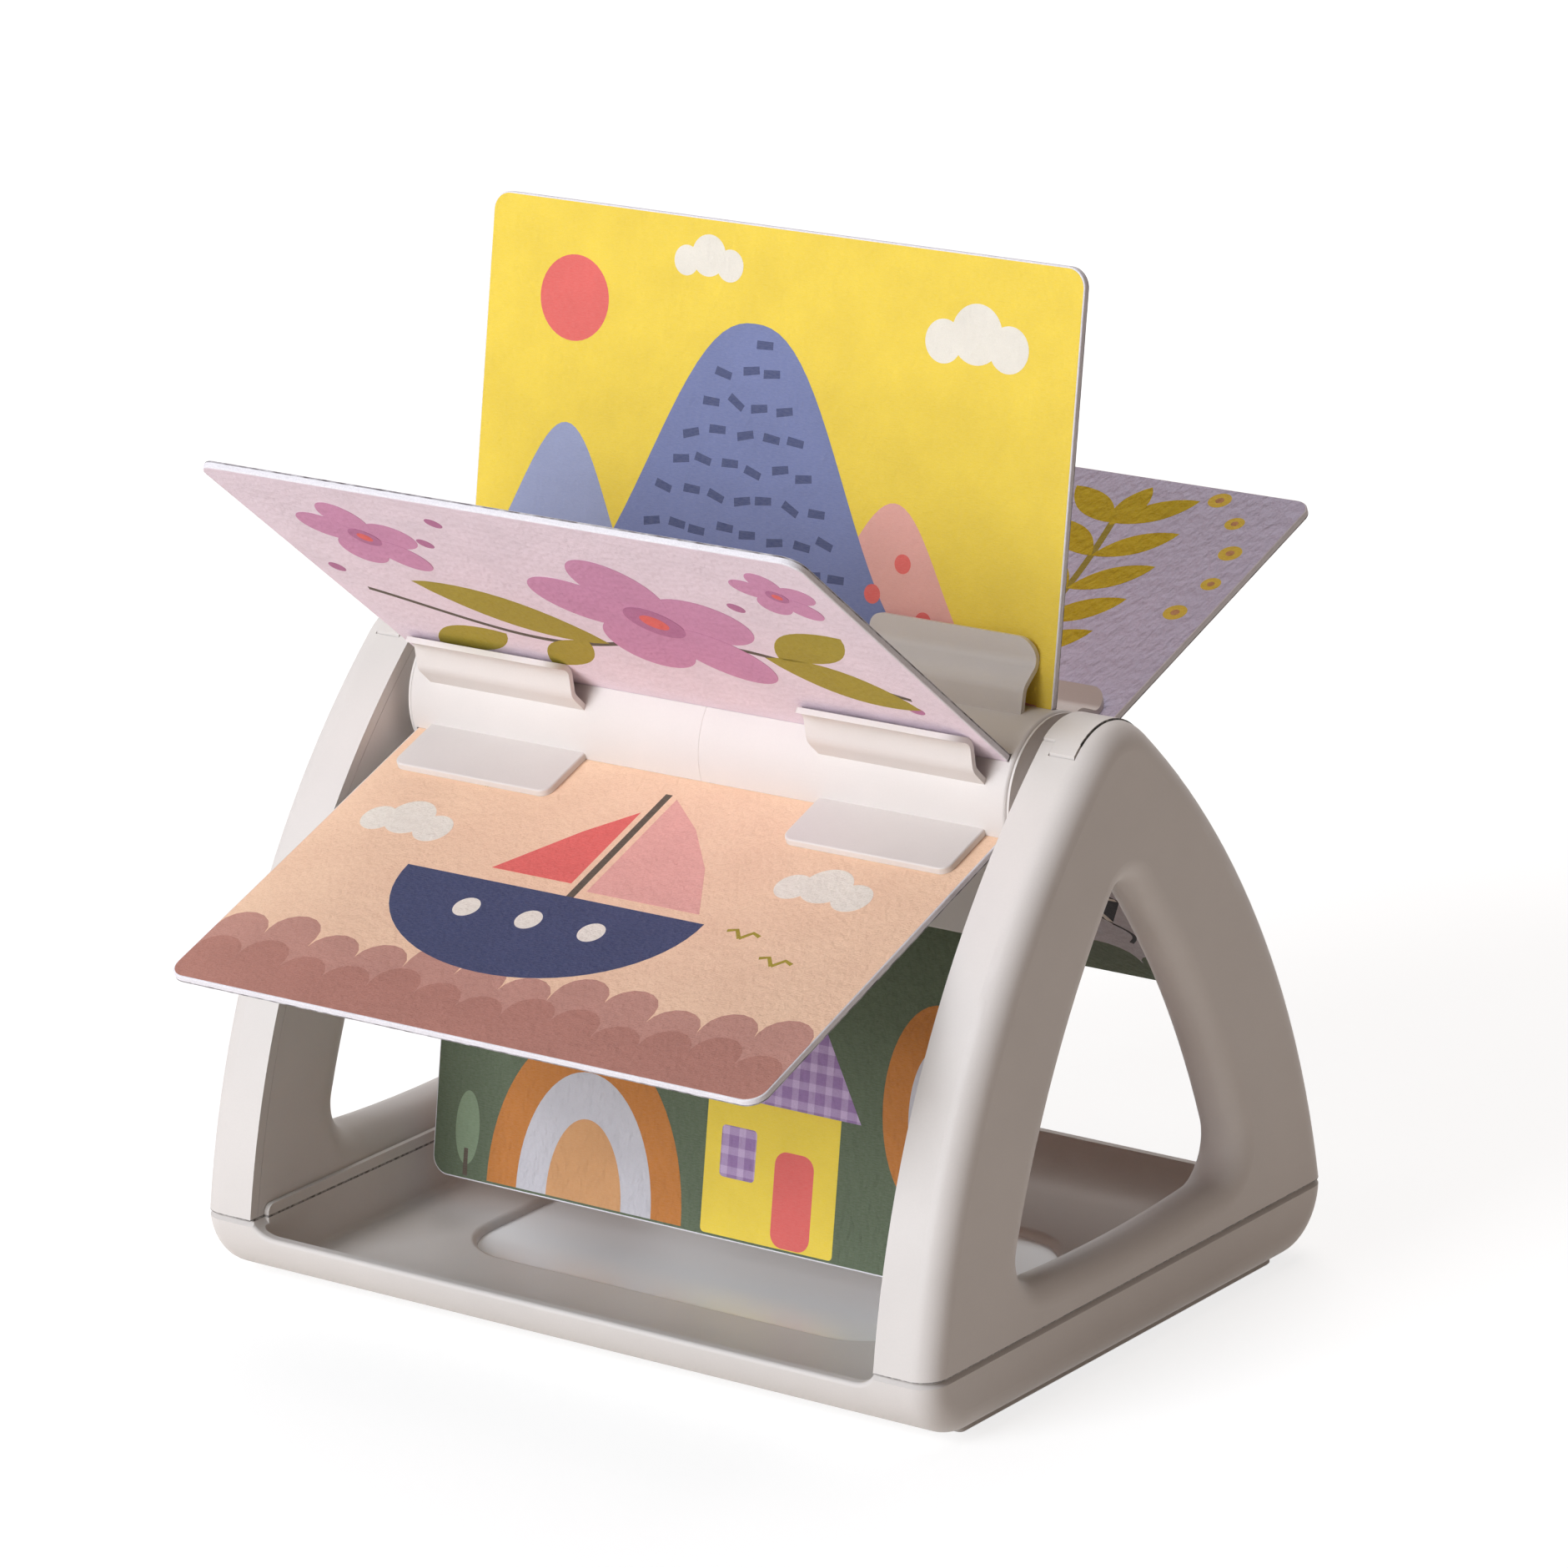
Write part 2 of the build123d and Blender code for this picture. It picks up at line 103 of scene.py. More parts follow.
def srgb(red, green, blue):
    """A colour given in 8-bit screen values, as Blender's linear RGBA."""
    linear = []
    for value in (red, green, blue):
        share = value / 255
        linear.append(share / 12.92 if share <= 0.04045 else ((share + 0.055) / 1.055) ** 2.4)
    return (*linear, 1.0)


def scaled(colour, factor):
    return (*(min(1.0, c * factor) for c in colour[:3]), 1.0)


# Materials


def put(tree, kind, inputs=None, **settings):
    """Add a node. Inputs are other nodes' sockets or plain values."""
    node = tree.nodes.new(kind)
    for name, value in settings.items():
        setattr(node, name, value)
    for name, value in (inputs or {}).items():
        if isinstance(value, bpy.types.NodeSocket):
            tree.links.new(value, node.inputs[name])
        else:
            node.inputs[name].default_value = value
    return node


def new_material(name):
    material = bpy.data.materials.new(name)
    material.use_nodes = True
    tree = material.node_tree
    return material, tree, tree.nodes["Principled BSDF"]


def object_place(tree):
    """Where a point lies on the object, in metres."""
    return put(tree, "ShaderNodeTexCoord").outputs["Object"]


def card_place(tree):
    """Where a point lies on its card, in millimetres."""
    return put(tree, "ShaderNodeUVMap", uv_map="card").outputs["UV"]


def noise(tree, vector, scale, detail=2.0, roughness=0.5):
    inputs = {"Vector": vector, "Scale": scale, "Detail": detail, "Roughness": roughness}
    return put(tree, "ShaderNodeTexNoise", inputs).outputs["Fac"]


def stretched(tree, vector, scale):
    return put(tree, "ShaderNodeMapping", {"Vector": vector, "Scale": scale}).outputs["Vector"]


def remap(tree, value, low, high, from_low=0.3, from_high=0.7):
    inputs = {"Value": value, "From Min": from_low, "From Max": from_high, "To Min": low, "To Max": high}
    return put(tree, "ShaderNodeMapRange", inputs).outputs["Result"]


def blend(tree, factor, first, second):
    """Mix two colours, or two colour sockets."""
    node = put(tree, "ShaderNodeMix", data_type="RGBA")
    for index, value in ((0, factor), (6, first), (7, second)):
        if isinstance(value, bpy.types.NodeSocket):
            tree.links.new(value, node.inputs[index])
        else:
            node.inputs[index].default_value = value
    return node.outputs[2]


def maths(tree, operation, *values):
    node = put(tree, "ShaderNodeMath", operation=operation)
    for index, value in enumerate(values):
        if isinstance(value, bpy.types.NodeSocket):
            tree.links.new(value, node.inputs[index])
        else:
            node.inputs[index].default_value = value
    return node.outputs[0]


def bump(tree, heights, distance):
    """Stack bumps, each a height socket with its strength."""
    normal = None
    for height, strength in heights:
        inputs = {"Height": height, "Strength": strength, "Distance": distance}
        if normal is not None:
            inputs["Normal"] = normal
        normal = put(tree, "ShaderNodeBump", inputs).outputs["Normal"]
    return normal


def apart(tree, value, target):
    return maths(tree, "ABSOLUTE", maths(tree, "SUBTRACT", value, target))


def near(tree, value, target, line):
    """One where a value is close to a target in millimetres, falling to nothing."""
    full, gone = line
    return remap(tree, apart(tree, value, target * MM), 1.0, 0.0, full * MM, gone * MM)


def seen_directly(tree):
    """One for the camera and for reflections, and none for the light that falls on the object."""
    path = put(tree, "ShaderNodeLightPath").outputs
    seen = maths(tree, "MAXIMUM", path["Is Camera Ray"], path["Is Glossy Ray"])
    return maths(tree, "MAXIMUM", seen, path["Is Transmission Ray"])


def gap_shade_lines(tree, place):
    """Painted shade of the gaps: thin dark lines between the arches and the tray, and beside the bearing
    caps.
    """
    axes = put(tree, "ShaderNodeSeparateXYZ", {"Vector": place}).outputs
    foot = near(tree, axes["Z"], SEAM_HEIGHT, SEAM_SHADE_LINE)
    beside = near(tree, maths(tree, "ABSOLUTE", axes["X"]), CAP_SIDE, CAP_SHADE_LINE)
    on_crown = maths(tree, "GREATER_THAN", axes["Z"], CROWN_LOW * MM)
    between = maths(tree, "LESS_THAN", apart(tree, axes["Y"], CAP_MIDDLE * MM), CAP_HALF_LENGTH * MM)
    cap = maths(tree, "MULTIPLY", maths(tree, "MULTIPLY", beside, on_crown), between)
    return maths(tree, "MAXIMUM", foot, cap)


def plastic(name, colour, roughness, paints_gap_shade=False):
    """Moulded plastic with an eroded grain and faint level lines, and, where asked, painted shade along
    the gaps between parts.
    """
    material, tree, shader = new_material(name)
    place = object_place(tree)
    clouds = noise(tree, place, 45.0, 3.0)
    grain = noise(tree, place, 2600.0, 2.0, 0.6)
    levels = noise(tree, stretched(tree, place, (18.0, 18.0, 2300.0)), 1.0, 1.0)
    tone = blend(tree, remap(tree, clouds, 0.0, 1.0), scaled(colour, 0.975), scaled(colour, 1.02))
    tone = blend(tree, remap(tree, grain, 0.0, 0.12), tone, scaled(colour, 0.86))
    if paints_gap_shade:
        # Painted shade: the gaps at the seam and beside the caps are drawn as broken near-black lines in
        # the colour
        breaks = remap(tree, noise(tree, place, 900.0, 2.0), 0.5, 1.0, 0.35, 0.6)
        gap_shade = maths(tree, "MULTIPLY", gap_shade_lines(tree, place), breaks)
        tone = blend(tree, gap_shade, tone, scaled(colour, 0.16))
    tree.links.new(tone, shader.inputs["Base Color"])
    tree.links.new(remap(tree, grain, roughness - 0.04, roughness + 0.06), shader.inputs["Roughness"])
    tree.links.new(bump(tree, [(grain, 0.12), (levels, 0.05)], 0.00015), shader.inputs["Normal"])
    shader.inputs["Specular IOR Level"].default_value = 0.3
    return material


def board(name, paper, glue, angle, side):
    """The cut edge of a card: white board with a broken glue line towards one side."""
    material, tree, shader = new_material(name)
    place = object_place(tree)
    height = AXIS_HEIGHT * MM
    level = put(tree, "ShaderNodeMapping", {
        "Vector": place,
        "Location": (0.0, -height * math.sin(angle), -height * math.cos(angle)),
        "Rotation": (-angle, 0.0, 0.0),
    }).outputs["Vector"]
    depth = put(tree, "ShaderNodeSeparateXYZ", {"Vector": level}).outputs["Z"]
    fibres = noise(tree, stretched(tree, level, (700.0, 700.0, 4500.0)), 1.0, 3.0)
    breaks = noise(tree, stretched(tree, level, (420.0, 420.0, 420.0)), 1.0, 2.0)
    specks = noise(tree, place, 3200.0, 2.0)
    glue_line = near(tree, depth, side * GLUE_DEPTH, GLUE_LINE)
    line = maths(tree, "MULTIPLY", glue_line, remap(tree, breaks, 0.35, 1.0))
    paper_tone = blend(tree, remap(tree, fibres, 0.0, 1.0), scaled(paper, 0.9), paper)
    paper_tone = blend(tree, remap(tree, specks, 0.0, 0.12), paper_tone, scaled(glue, 1.4))
    tree.links.new(blend(tree, line, paper_tone, glue), shader.inputs["Base Color"])
    tree.links.new(remap(tree, specks, 0.75, 0.92), shader.inputs["Roughness"])
    tree.links.new(bump(tree, [(fibres, 0.25)], 0.0001), shader.inputs["Normal"])
    return material


def felt_texture(tree, place, coarse):
    """Heights and tones of the embossed, slightly fibrous print paper. Place is in millimetres."""
    emboss_scale = (0.62, 0.3, 1.0) if coarse else (0.72, 0.5, 1.0)
    return {
        "cloud": noise(tree, stretched(tree, place, (0.09, 0.09, 1.0)), 1.0, 3.0),
        "emboss": noise(tree, stretched(tree, place, emboss_scale), 1.0, 2.0, 0.5),
        "depth": 1.5 if coarse else 0.5,
        "fibre": noise(tree, stretched(tree, place, (0.8, 4.0, 1.0)), 1.0, 3.0, 0.6),
        "speck": noise(tree, stretched(tree, place, (5.0, 5.0, 1.0)), 1.0, 2.0, 0.6),
    }


def finish_print(tree, shader, tone, felt, rough=0.72):
    tone = blend(tree, remap(tree, felt["fibre"], 0.0, 0.05), tone, WHITE)
    tree.links.new(tone, shader.inputs["Base Color"])
    tree.links.new(remap(tree, felt["speck"], rough - 0.06, rough + 0.1), shader.inputs["Roughness"])
    heights = [(felt["emboss"], 0.6 * felt["depth"]), (felt["fibre"], 0.22), (felt["speck"], 0.1)]
    tree.links.new(bump(tree, heights, 0.0011), shader.inputs["Normal"])
    shader.inputs["Specular IOR Level"].default_value = 0.15


def ink(name, colour, coarse=False):
    """A printed colour, mottled by the paper that it lies on."""
    material, tree, shader = new_material(name)
    place = card_place(tree)
    felt = felt_texture(tree, place, coarse)
    tone = blend(tree, remap(tree, felt["cloud"], 0.0, 1.0), scaled(colour, 0.95), scaled(colour, 1.04))
    tone = blend(tree, remap(tree, felt["speck"], 0.0, 0.3), tone, scaled(colour, 0.8))
    finish_print(tree, shader, tone, felt)
    return material


def gingham(name, light, dark, pitch):
    """Woven checks: light lines crossing on a darker ground."""
    material, tree, shader = new_material(name)
    place = card_place(tree)
    felt = felt_texture(tree, place, True)
    axes = put(tree, "ShaderNodeSeparateXYZ", {"Vector": place})
    bands = []
    for axis in ("X", "Y"):
        step = maths(tree, "PINGPONG", axes.outputs[axis], pitch / 2)
        bands.append(maths(tree, "GREATER_THAN", step, pitch * 0.3))
    share = maths(tree, "MULTIPLY", maths(tree, "ADD", bands[0], bands[1]), 0.5)
    tone = blend(tree, share, dark, light)
    tone = blend(tree, remap(tree, felt["speck"], 0.0, 0.25), tone, scaled(dark, 0.85))
    finish_print(tree, shader, tone, felt)
    return material


def satin_mirror(name, colour):
    """Silvered plastic sheet with a soft haze and faint polishing marks."""
    material, tree, shader = new_material(name)
    place = object_place(tree)
    haze = noise(tree, place, 28.0, 3.0)
    marks = noise(tree, stretched(tree, place, (60.0, 900.0, 60.0)), 1.0, 2.0)
    tone = blend(tree, remap(tree, haze, 0.0, 1.0), scaled(colour, 0.96), scaled(colour, 1.05))
    tree.links.new(tone, shader.inputs["Base Color"])
    shader.inputs["Metallic"].default_value = 0.5
    tree.links.new(remap(tree, haze, 0.4, 0.46), shader.inputs["Roughness"])
    tree.links.new(bump(tree, [(haze, 0.02), (marks, 0.02)], 0.0003), shader.inputs["Normal"])
    return material


def steel(name, colour):
    material, tree, shader = new_material(name)
    place = object_place(tree)
    turning = noise(tree, stretched(tree, place, (900.0, 900.0, 5200.0)), 1.0, 3.0)
    stains = noise(tree, place, 500.0, 2.0)
    tone = blend(tree, remap(tree, turning, 0.0, 1.0), scaled(colour, 0.85), scaled(colour, 1.1))
    tone = blend(tree, remap(tree, stains, 0.0, 0.2), tone, scaled(colour, 0.6))
    tree.links.new(tone, shader.inputs["Base Color"])
    shader.inputs["Metallic"].default_value = 1.0
    tree.links.new(remap(tree, turning, 0.26, 0.42), shader.inputs["Roughness"])
    tree.links.new(bump(tree, [(turning, 0.15)], 0.0001), shader.inputs["Normal"])
    return material


def backdrop(name):
    """The floor: it keeps the object's shadow and shows white to the camera and in reflections."""
    material, tree, shader = new_material(name)
    place = object_place(tree)
    clouds = noise(tree, place, 6.0, 2.0)
    seen = seen_directly(tree)
    tone = blend(tree, remap(tree, clouds, 0.0, 1.0), scaled(FLOOR_COLOUR, 0.99), FLOOR_COLOUR)
    tree.links.new(blend(tree, seen, tone, FLOOR_SEEN_COLOUR), shader.inputs["Base Color"])
    shader.inputs["Roughness"].default_value = 0.9
    shader.inputs["Specular IOR Level"].default_value = 0.0
    shader.inputs["Emission Color"].default_value = WHITE
    reach = put(tree, "ShaderNodeVectorMath", {0: place}, operation="LENGTH").outputs["Value"]
    lift = remap(tree, reach, FLOOR_GLOW_NEAR, FLOOR_GLOW_FAR, FLOOR_NEAR, FLOOR_FAR)
    tree.links.new(maths(tree, "MULTIPLY", seen, lift), shader.inputs["Emission Strength"])
    return material


WARM_GREY = srgb(226, 220, 216)
MIRROR_SILVER = srgb(252, 252, 254)
STEEL_GREY = srgb(176, 176, 178)
BOARD_WHITE = srgb(250, 247, 253)
GLUE_BROWN = srgb(70, 60, 64)
GINGHAM_LIGHT, GINGHAM_DARK = srgb(214, 188, 222), srgb(160, 126, 176)
GINGHAM_PITCH = 4.2

INK_COLOURS = {
    "yellow": srgb(252, 220, 80),
    "periwinkle": srgb(126, 136, 182),
    "periwinkle_light": srgb(160, 168, 204),
    "slate": srgb(82, 90, 130),
    "pink": srgb(245, 229, 241),
    "mauve": srgb(216, 152, 190),
    "mauve_dark": srgb(192, 122, 164),
    "olive": srgb(174, 156, 50),
    "stem": srgb(98, 86, 74),
    "peach": srgb(254, 214, 182),
    "brown": srgb(188, 132, 118),
    "brown_light": srgb(202, 150, 136),
    "navy": srgb(66, 74, 112),
    "coral": srgb(238, 112, 106),
    "blush": srgb(240, 178, 168),
    "lavender": srgb(226, 222, 250),
    "leaf": srgb(222, 194, 14),
    "green": srgb(100, 112, 88),
    "green_light": srgb(140, 158, 128),
    "orange": srgb(205, 130, 62),
    "apricot": srgb(222, 164, 112),
    "grey": srgb(212, 208, 214),
    "charcoal": srgb(46, 44, 50),
    "cream": srgb(246, 240, 228),
    "sky": srgb(170, 198, 208),
}

# Inks printed on the more deeply embossed paper
COARSE_INKS = ("green", "green_light", "orange", "apricot", "grey", "lavender", "leaf")


# Outlines, as lists of points in a picture's own millimetres: right, and up from its lower edge


def placed(points, x, y, turn):
    """Points turned by an angle in degrees, then moved to (x, y)."""
    cos_turn, sin_turn = math.cos(math.radians(turn)), math.sin(math.radians(turn))
    return [(x + a * cos_turn - b * sin_turn, y + a * sin_turn + b * cos_turn) for a, b in points]


def ring_points(centre, radii, start=0.0, end=360.0, count=48, turn=0.0):
    """Points along an ellipse, from one angle to another."""
    closed = abs(end - start) >= 360
    steps = count if closed else count + 1
    points = []
    for step in range(steps):
        angle = math.radians(start + (end - start) * step / count)
        points.append((radii[0] * math.cos(angle), radii[1] * math.sin(angle)))
    return placed(points, *centre, turn)


def disc(x, y, radius):
    return ring_points((x, y), (radius, radius), count=40)


def oval(x, y, wide, high, turn=0.0):
    return ring_points((x, y), (wide, high), turn=turn)


def leaf_shape(x, y, length, width, turn):
    """A pointed leaf from its foot at (x, y)."""
    points = []
    steps = 12
    for side in (1, -1):
        for step in range(steps):
            share = step / steps if side == 1 else 1 - step / steps
            across = side * width / 2 * math.sin(math.pi * share) ** 0.8
            points.append((share * length, across))
    return placed(points, x, y, turn)


def dash_shape(x, y, length, width, turn):
    """A brush stroke with slightly uneven ends."""
    a, b = length / 2, width / 2
    return placed([(-a, -b), (a, -b * 0.8), (a, b), (-a * 0.95, b)], x, y, turn)


def ribbon(path, width):
    """A strip of even width along a path."""
    left, right = [], []
    for index, point in enumerate(path):
        before = path[max(index - 1, 0)]
        after = path[min(index + 1, len(path) - 1)]
        along = Vector((after[0] - before[0], after[1] - before[1])).normalized()
        left.append((point[0] - along.y * width / 2, point[1] + along.x * width / 2))
        right.append((point[0] + along.y * width / 2, point[1] - along.x * width / 2))
    return left + right[::-1]


def dome(x, y, wide, high):
    return ring_points((x, y), (wide, high), 0, 180, 32)


def band_arch(x, y, outer, inner):
    return dome(x, y, outer, outer) + ring_points((x, y), (inner, inner), 180, 0, 32)


def rounded_box(left, bottom, right, top, corner):
    points = []
    for cx, cy, start in (
        (right - corner, top - corner, 0),
        (left + corner, top - corner, 90),
        (left + corner, bottom + corner, 180),
        (right - corner, bottom + corner, 270),
    ):
        points += ring_points((cx, cy), (corner, corner), start, start + 90, 8)
    return points


def petals(x, y, reach, width, count, turn=0.0):
    """A flower of round petals, each an outline of its own."""
    shapes = []
    for number in range(count):
        angle = turn + 360 / count * number
        middle = reach * 0.58
        shapes.append(oval(
            x + middle * math.cos(math.radians(angle)),
            y + middle * math.sin(math.radians(angle)),
            reach * 0.45,
            width / 2,
            angle,
        ))
    return shapes


def inside(point, outline):
    """Whether a point lies inside an outline."""
    x, y = point
    hit = False
    for (ax, ay), (bx, by) in zip(outline, outline[1:] + outline[:1]):
        if (ay > y) != (by > y) and x < (bx - ax) * (y - ay) / (by - ay) + ax:
            hit = not hit
    return hit


HALF = CARD_HALF_WIDTH - PRINT_INSET


def ground(profile, at_tip):
    """The area below a line of (right, up) points that runs from edge to edge."""
    if not at_tip:
        return [(-HALF, 0.0), (HALF, 0.0)] + profile[::-1]
    corner = CARD_CORNER - PRINT_INSET
    left = ring_points((-HALF + corner, corner), (corner, corner), 180, 270, 10)
    right = ring_points((HALF - corner, corner), (corner, corner), 270, 360, 10)
    return left + right + profile[::-1]


def scallops(base, radius, lift, at_tip=True):
    """Ground with a scalloped edge."""
    count = round(2 * HALF / (1.7 * radius))
    pitch = 2 * HALF / count
    steps = 8
    profile = []
    for number in range(count):
        centre = -HALF + pitch * (number + 0.5)
        height = base + lift * math.sin(number * 1.9)
        for step in range(steps + 1):
            angle = math.pi * (1 - step / steps)
            x = centre + pitch / 2 * math.cos(angle)
            profile.append((x, height + radius * 0.75 * math.sin(angle)))
    return ground(profile, at_tip)


# Pictures: lists of (ink, outline, layer)


def hill(middle, height, spread, power):
    """A soft hill that stands on the drum's edge of a card."""
    reach = spread * 5.0 ** (1 / power)
    path = [middle + reach * step / 30 for step in range(-30, 31)]
    left, right = max(path[0], -HALF + 0.5), min(path[-1], HALF - 0.5)
    crest = [
        (x, height * math.exp(-abs((x - middle) / spread) ** power))
        for x in path
        if left <= x <= right
    ]
    return [(crest[0][0], 0.0), (crest[-1][0], 0.0)] + crest[::-1]


def cloud(x, y, size, puffs):
    """A cloud of overlapping discs, each (right, up, radius) from the cloud's place."""
    return [
        ("cream", disc(x + right * size, y + up * size, radius * size), layer)
        for layer, (right, up, radius) in enumerate(puffs, 1)
    ]


def picture_hills():
    big = hill(-5, 68, 31, 2.4)
    art = [
        ("coral", disc(-52, 68, 9.0), 1),
        ("periwinkle_light", hill(-52, 42, 17, 2.0), 1),
        ("blush", hill(33, 36, 17, 2.0), 1),
        ("periwinkle", big, 2),
    ]
    shuffled = random.Random(4)
    for row in range(10):
        for column in range(24):
            x = -70 + column * 6.4 + (row % 2) * 3.2 + shuffled.uniform(-0.9, 0.9)
            y = 5 + row * 6.6 + shuffled.uniform(-0.9, 0.9)
            corners = [(x + dx, y + dy) for dx in (-3.2, 3.2) for dy in (-2.8, 2.8)]
            if all(inside(corner, big) for corner in corners):
                art.append(("slate", dash_shape(x, y, 4.2, 1.8, shuffled.uniform(-35, 15)), 3))
    puffs = ((-8, 0, 4.5), (0, 2.2, 6.2), (8, 0, 4.8))
    art += cloud(50, 70, 1.0, puffs) + cloud(-18, 79, 0.7, puffs)
    for x, y in ((36, 24), (29, 17), (42, 13)):
        art.append(("coral", disc(x, y, 2.0), 3))
    return art


def picture_blossoms():
    path = [(x, 30 + 7 * math.sin(x / 17)) for x in range(-66, 67, 3)]
    art = [("stem", ribbon(path, 1.6), 1)]
    for x, y, length, width, turn in (
        (-8, 27, 44, 16, 158),
        (36, 35, 33, 15, -26),
        (-38, 22, 28, 11, 205),
        (40, 36, 30, 12, 34),
        (-14, 26, 26, 9, 220),
    ):
        art.append(("olive", leaf_shape(x, y, length, width, turn), 2))
    for x, y, reach in ((14, 44, 27), (-47, 64, 15), (60, 70, 10)):
        for layer, shape in enumerate(petals(x, y, reach, reach * 0.74, 5, 18), 3):
            art.append(("mauve", shape, layer))
        art.append(("mauve_dark", disc(x, y, reach * 0.25), 8))
        art.append(("coral", disc(x, y, reach * 0.12), 9))
    for x, y in ((-20, 78), (-68, 44), (44, 60), (-30, 66), (64, 20), (-60, 12)):
        art.append(("mauve_dark", disc(x, y, 2.0), 1))
    return art


def picture_boat():
    art = [
        ("brown_light", scallops(17, 7.5, 2.0), 1),
        ("navy", ring_points((-8, 46), (38, 27), 180, 360, 32), 2),
        ("stem", dash_shape(-4, 62, 40, 1.9, 90), 1),
        ("blush", [(-1.5, 48.5), (27, 48.5), (19, 62), (9, 73), (-1.5, 81)], 2),
        ("coral", [(-6.5, 50), (-6.5, 75), (-15, 66), (-27, 50)], 2),
        ("cream", disc(-24, 37, 3.0), 3),
        ("cream", disc(-8, 37, 3.0), 3),
        ("cream", disc(8, 37, 3.0), 3),
        ("brown", scallops(9, 7.0, 1.6), 3),
    ]
    puffs = ((-7, 0, 4), (0, 2, 5.6), (7.5, 0, 4.4))
    art += cloud(48, 62, 1.0, puffs) + cloud(-56, 58, 1.0, puffs)
    for x, y in ((40, 44), (52, 38), (-46, 74)):
        crest_left = [(x - 4, y + 1.6), (x - 2, y + 2.4), (x, y)]
        crest_right = [(x, y), (x + 2, y + 2.4), (x + 4, y + 1.6)]
        art += [("olive", ribbon(crest_left, 0.9), 1), ("olive", ribbon(crest_right, 0.9), 2)]
    return art


def picture_house():
    art = [
        ("green_light", oval(-66, 11, 3.2, 8), 1),
        ("stem", dash_shape(-66, 3.5, 6.0, 1.2, 90), 2),
        ("orange", dome(-34, 0.5, 26, 37), 2),
        ("grey", dome(-34, 0.5, 18, 28), 3),
        ("apricot", dome(-34, 0.5, 10, 18), 4),
        ("yellow", rounded_box(-3, 0.5, 31, 31, 1.0), 2),
        ("gingham", [(-8, 30), (36, 30), (25, 49), (3, 49)], 3),
        ("gingham", rounded_box(1, 13, 10, 24, 1.0), 3),
        ("coral", rounded_box(15, 0.7, 25, 21, 3.0), 3),
        ("stem", dash_shape(54, 12, 20, 3.0, 90), 2),
        ("orange", oval(54, 36, 13, 22), 3),
        ("grey", oval(54, 35, 6.5, 14), 4),
        ("cream", disc(-2, 72, 6.5), 1),
    ]
    for x, y in ((-60, 60), (-40, 76), (22, 66), (40, 78), (66, 72), (-22, 58)):
        art.append(("apricot", disc(x, y, 1.5), 1))
    return art


def picture_fern():
    art = []
    for middle, top in ((34, 80), (-34, 70)):
        path = [(middle + 5 * math.sin(y / 24), y) for y in range(2, top - 6, 3)]
        art.append(("olive", ribbon(path, 1.6), 1))
        for x, y in path[3::4]:
            art.append(("leaf", leaf_shape(x, y, 19, 7.0, 38), 2))
            art.append(("leaf", leaf_shape(x, y, 19, 7.0, 146), 2))
        art.append(("leaf", leaf_shape(path[-1][0], path[-1][1] - 1, 15, 6.5, 84), 3))
    berries = (
        (54, 84, 2.6), (62, 77, 2.2), (67, 67, 2.6), (69, 56, 2.2),
        (67, 45, 2.6), (-62, 62, 2.6), (-4, 46, 2.2),
    )
    for x, y, radius in berries:
        art.append(("yellow", disc(x, y, radius), 1))
        art.append(("apricot", disc(x, y, radius * 0.38), 2))
    return art


def picture_arches(outer, middle, inner):
    art = []
    for x, size in ((-44, 1.0), (6, 1.25), (54, 0.85)):
        for layer, (name, radius) in enumerate(((outer, 22), (middle, 16.5), (inner, 11)), 1):
            art.append((name, band_arch(x, 10, radius * size, (radius - 4.6) * size), layer))
    for number in range(11):
        x = -66 + number * 13.2
        art.append((outer, disc(x, 60 + 9 * math.sin(number * 2.2), 2.6), 1))
    return art


def picture_balloons(colours):
    art = []
    for number, x in enumerate((-52, -24, 4, 32, 58)):
        y = 56 + 9 * math.sin(number * 2.4)
        path = [(x + 2.0 * math.sin(step / 3 + number), y - 14 - step * 2.2) for step in range(12)]
        art.append(("stem", ribbon(path, 0.8), 1))
        art.append((colours[number % len(colours)], oval(x, y, 11, 14), 2))
        art.append(("cream", oval(x - 4, y + 5, 1.8, 3.6, 25), 3))
    return art


def picture_drops(first, second):
    art = []
    for row in range(6):
        for column in range(9):
            x = -64 + column * 16 + (row % 2) * 8 - 4
            y = 9 + row * 14
            if abs(x) < 68:
                name = first if (row + column) % 3 else second
                art.append((name, leaf_shape(x, y + 4, 8.5, 5, 270), 1))
    return art


def picture_mushrooms():
    art = [("olive", scallops(2.5, 5.0, 0.6), 1)]
    for x, size, cap in ((-46, 1.0, "coral"), (-4, 1.35, "mauve"), (42, 1.1, "coral")):
        art.append(("cream", rounded_box(x - 4 * size, 3, x + 4 * size, 34 * size, 2.0), 2))
        art.append((cap, dome(x, 28 * size, 19 * size, 17 * size), 3))
        for dx, dy in ((-9, 5), (0, 9.5), (9, 5)):
            art.append(("cream", disc(x + dx * size, (28 + dy) * size, 2.2 * size), 4))
    return art


def picture_kites(ground_ink, stripe_ink):
    art = [(ground_ink, scallops(12, 8.0, 2.5), 1)]
    for x, y, size in ((-42, 52, 1.0), (8, 60, 1.2), (52, 48, 0.9)):
        corners = [(0, -17), (11, 0), (0, 12), (-11, 0)]
        art.append((stripe_ink, [(x + right * size, y + up * size) for right, up in corners], 1))
        art.append(("cream", dash_shape(x, y, 20 * size, 1.4, 0), 2))
        art.append(("cream", dash_shape(x, y - 3 * size, 26 * size, 1.4, 90), 3))
        tail = [(x + 2.5 * math.sin(step / 2), y - 17 * size - step * 1.5) for step in range(8)]
        art.append((stripe_ink, ribbon(tail, 1.0), 2))
    return art


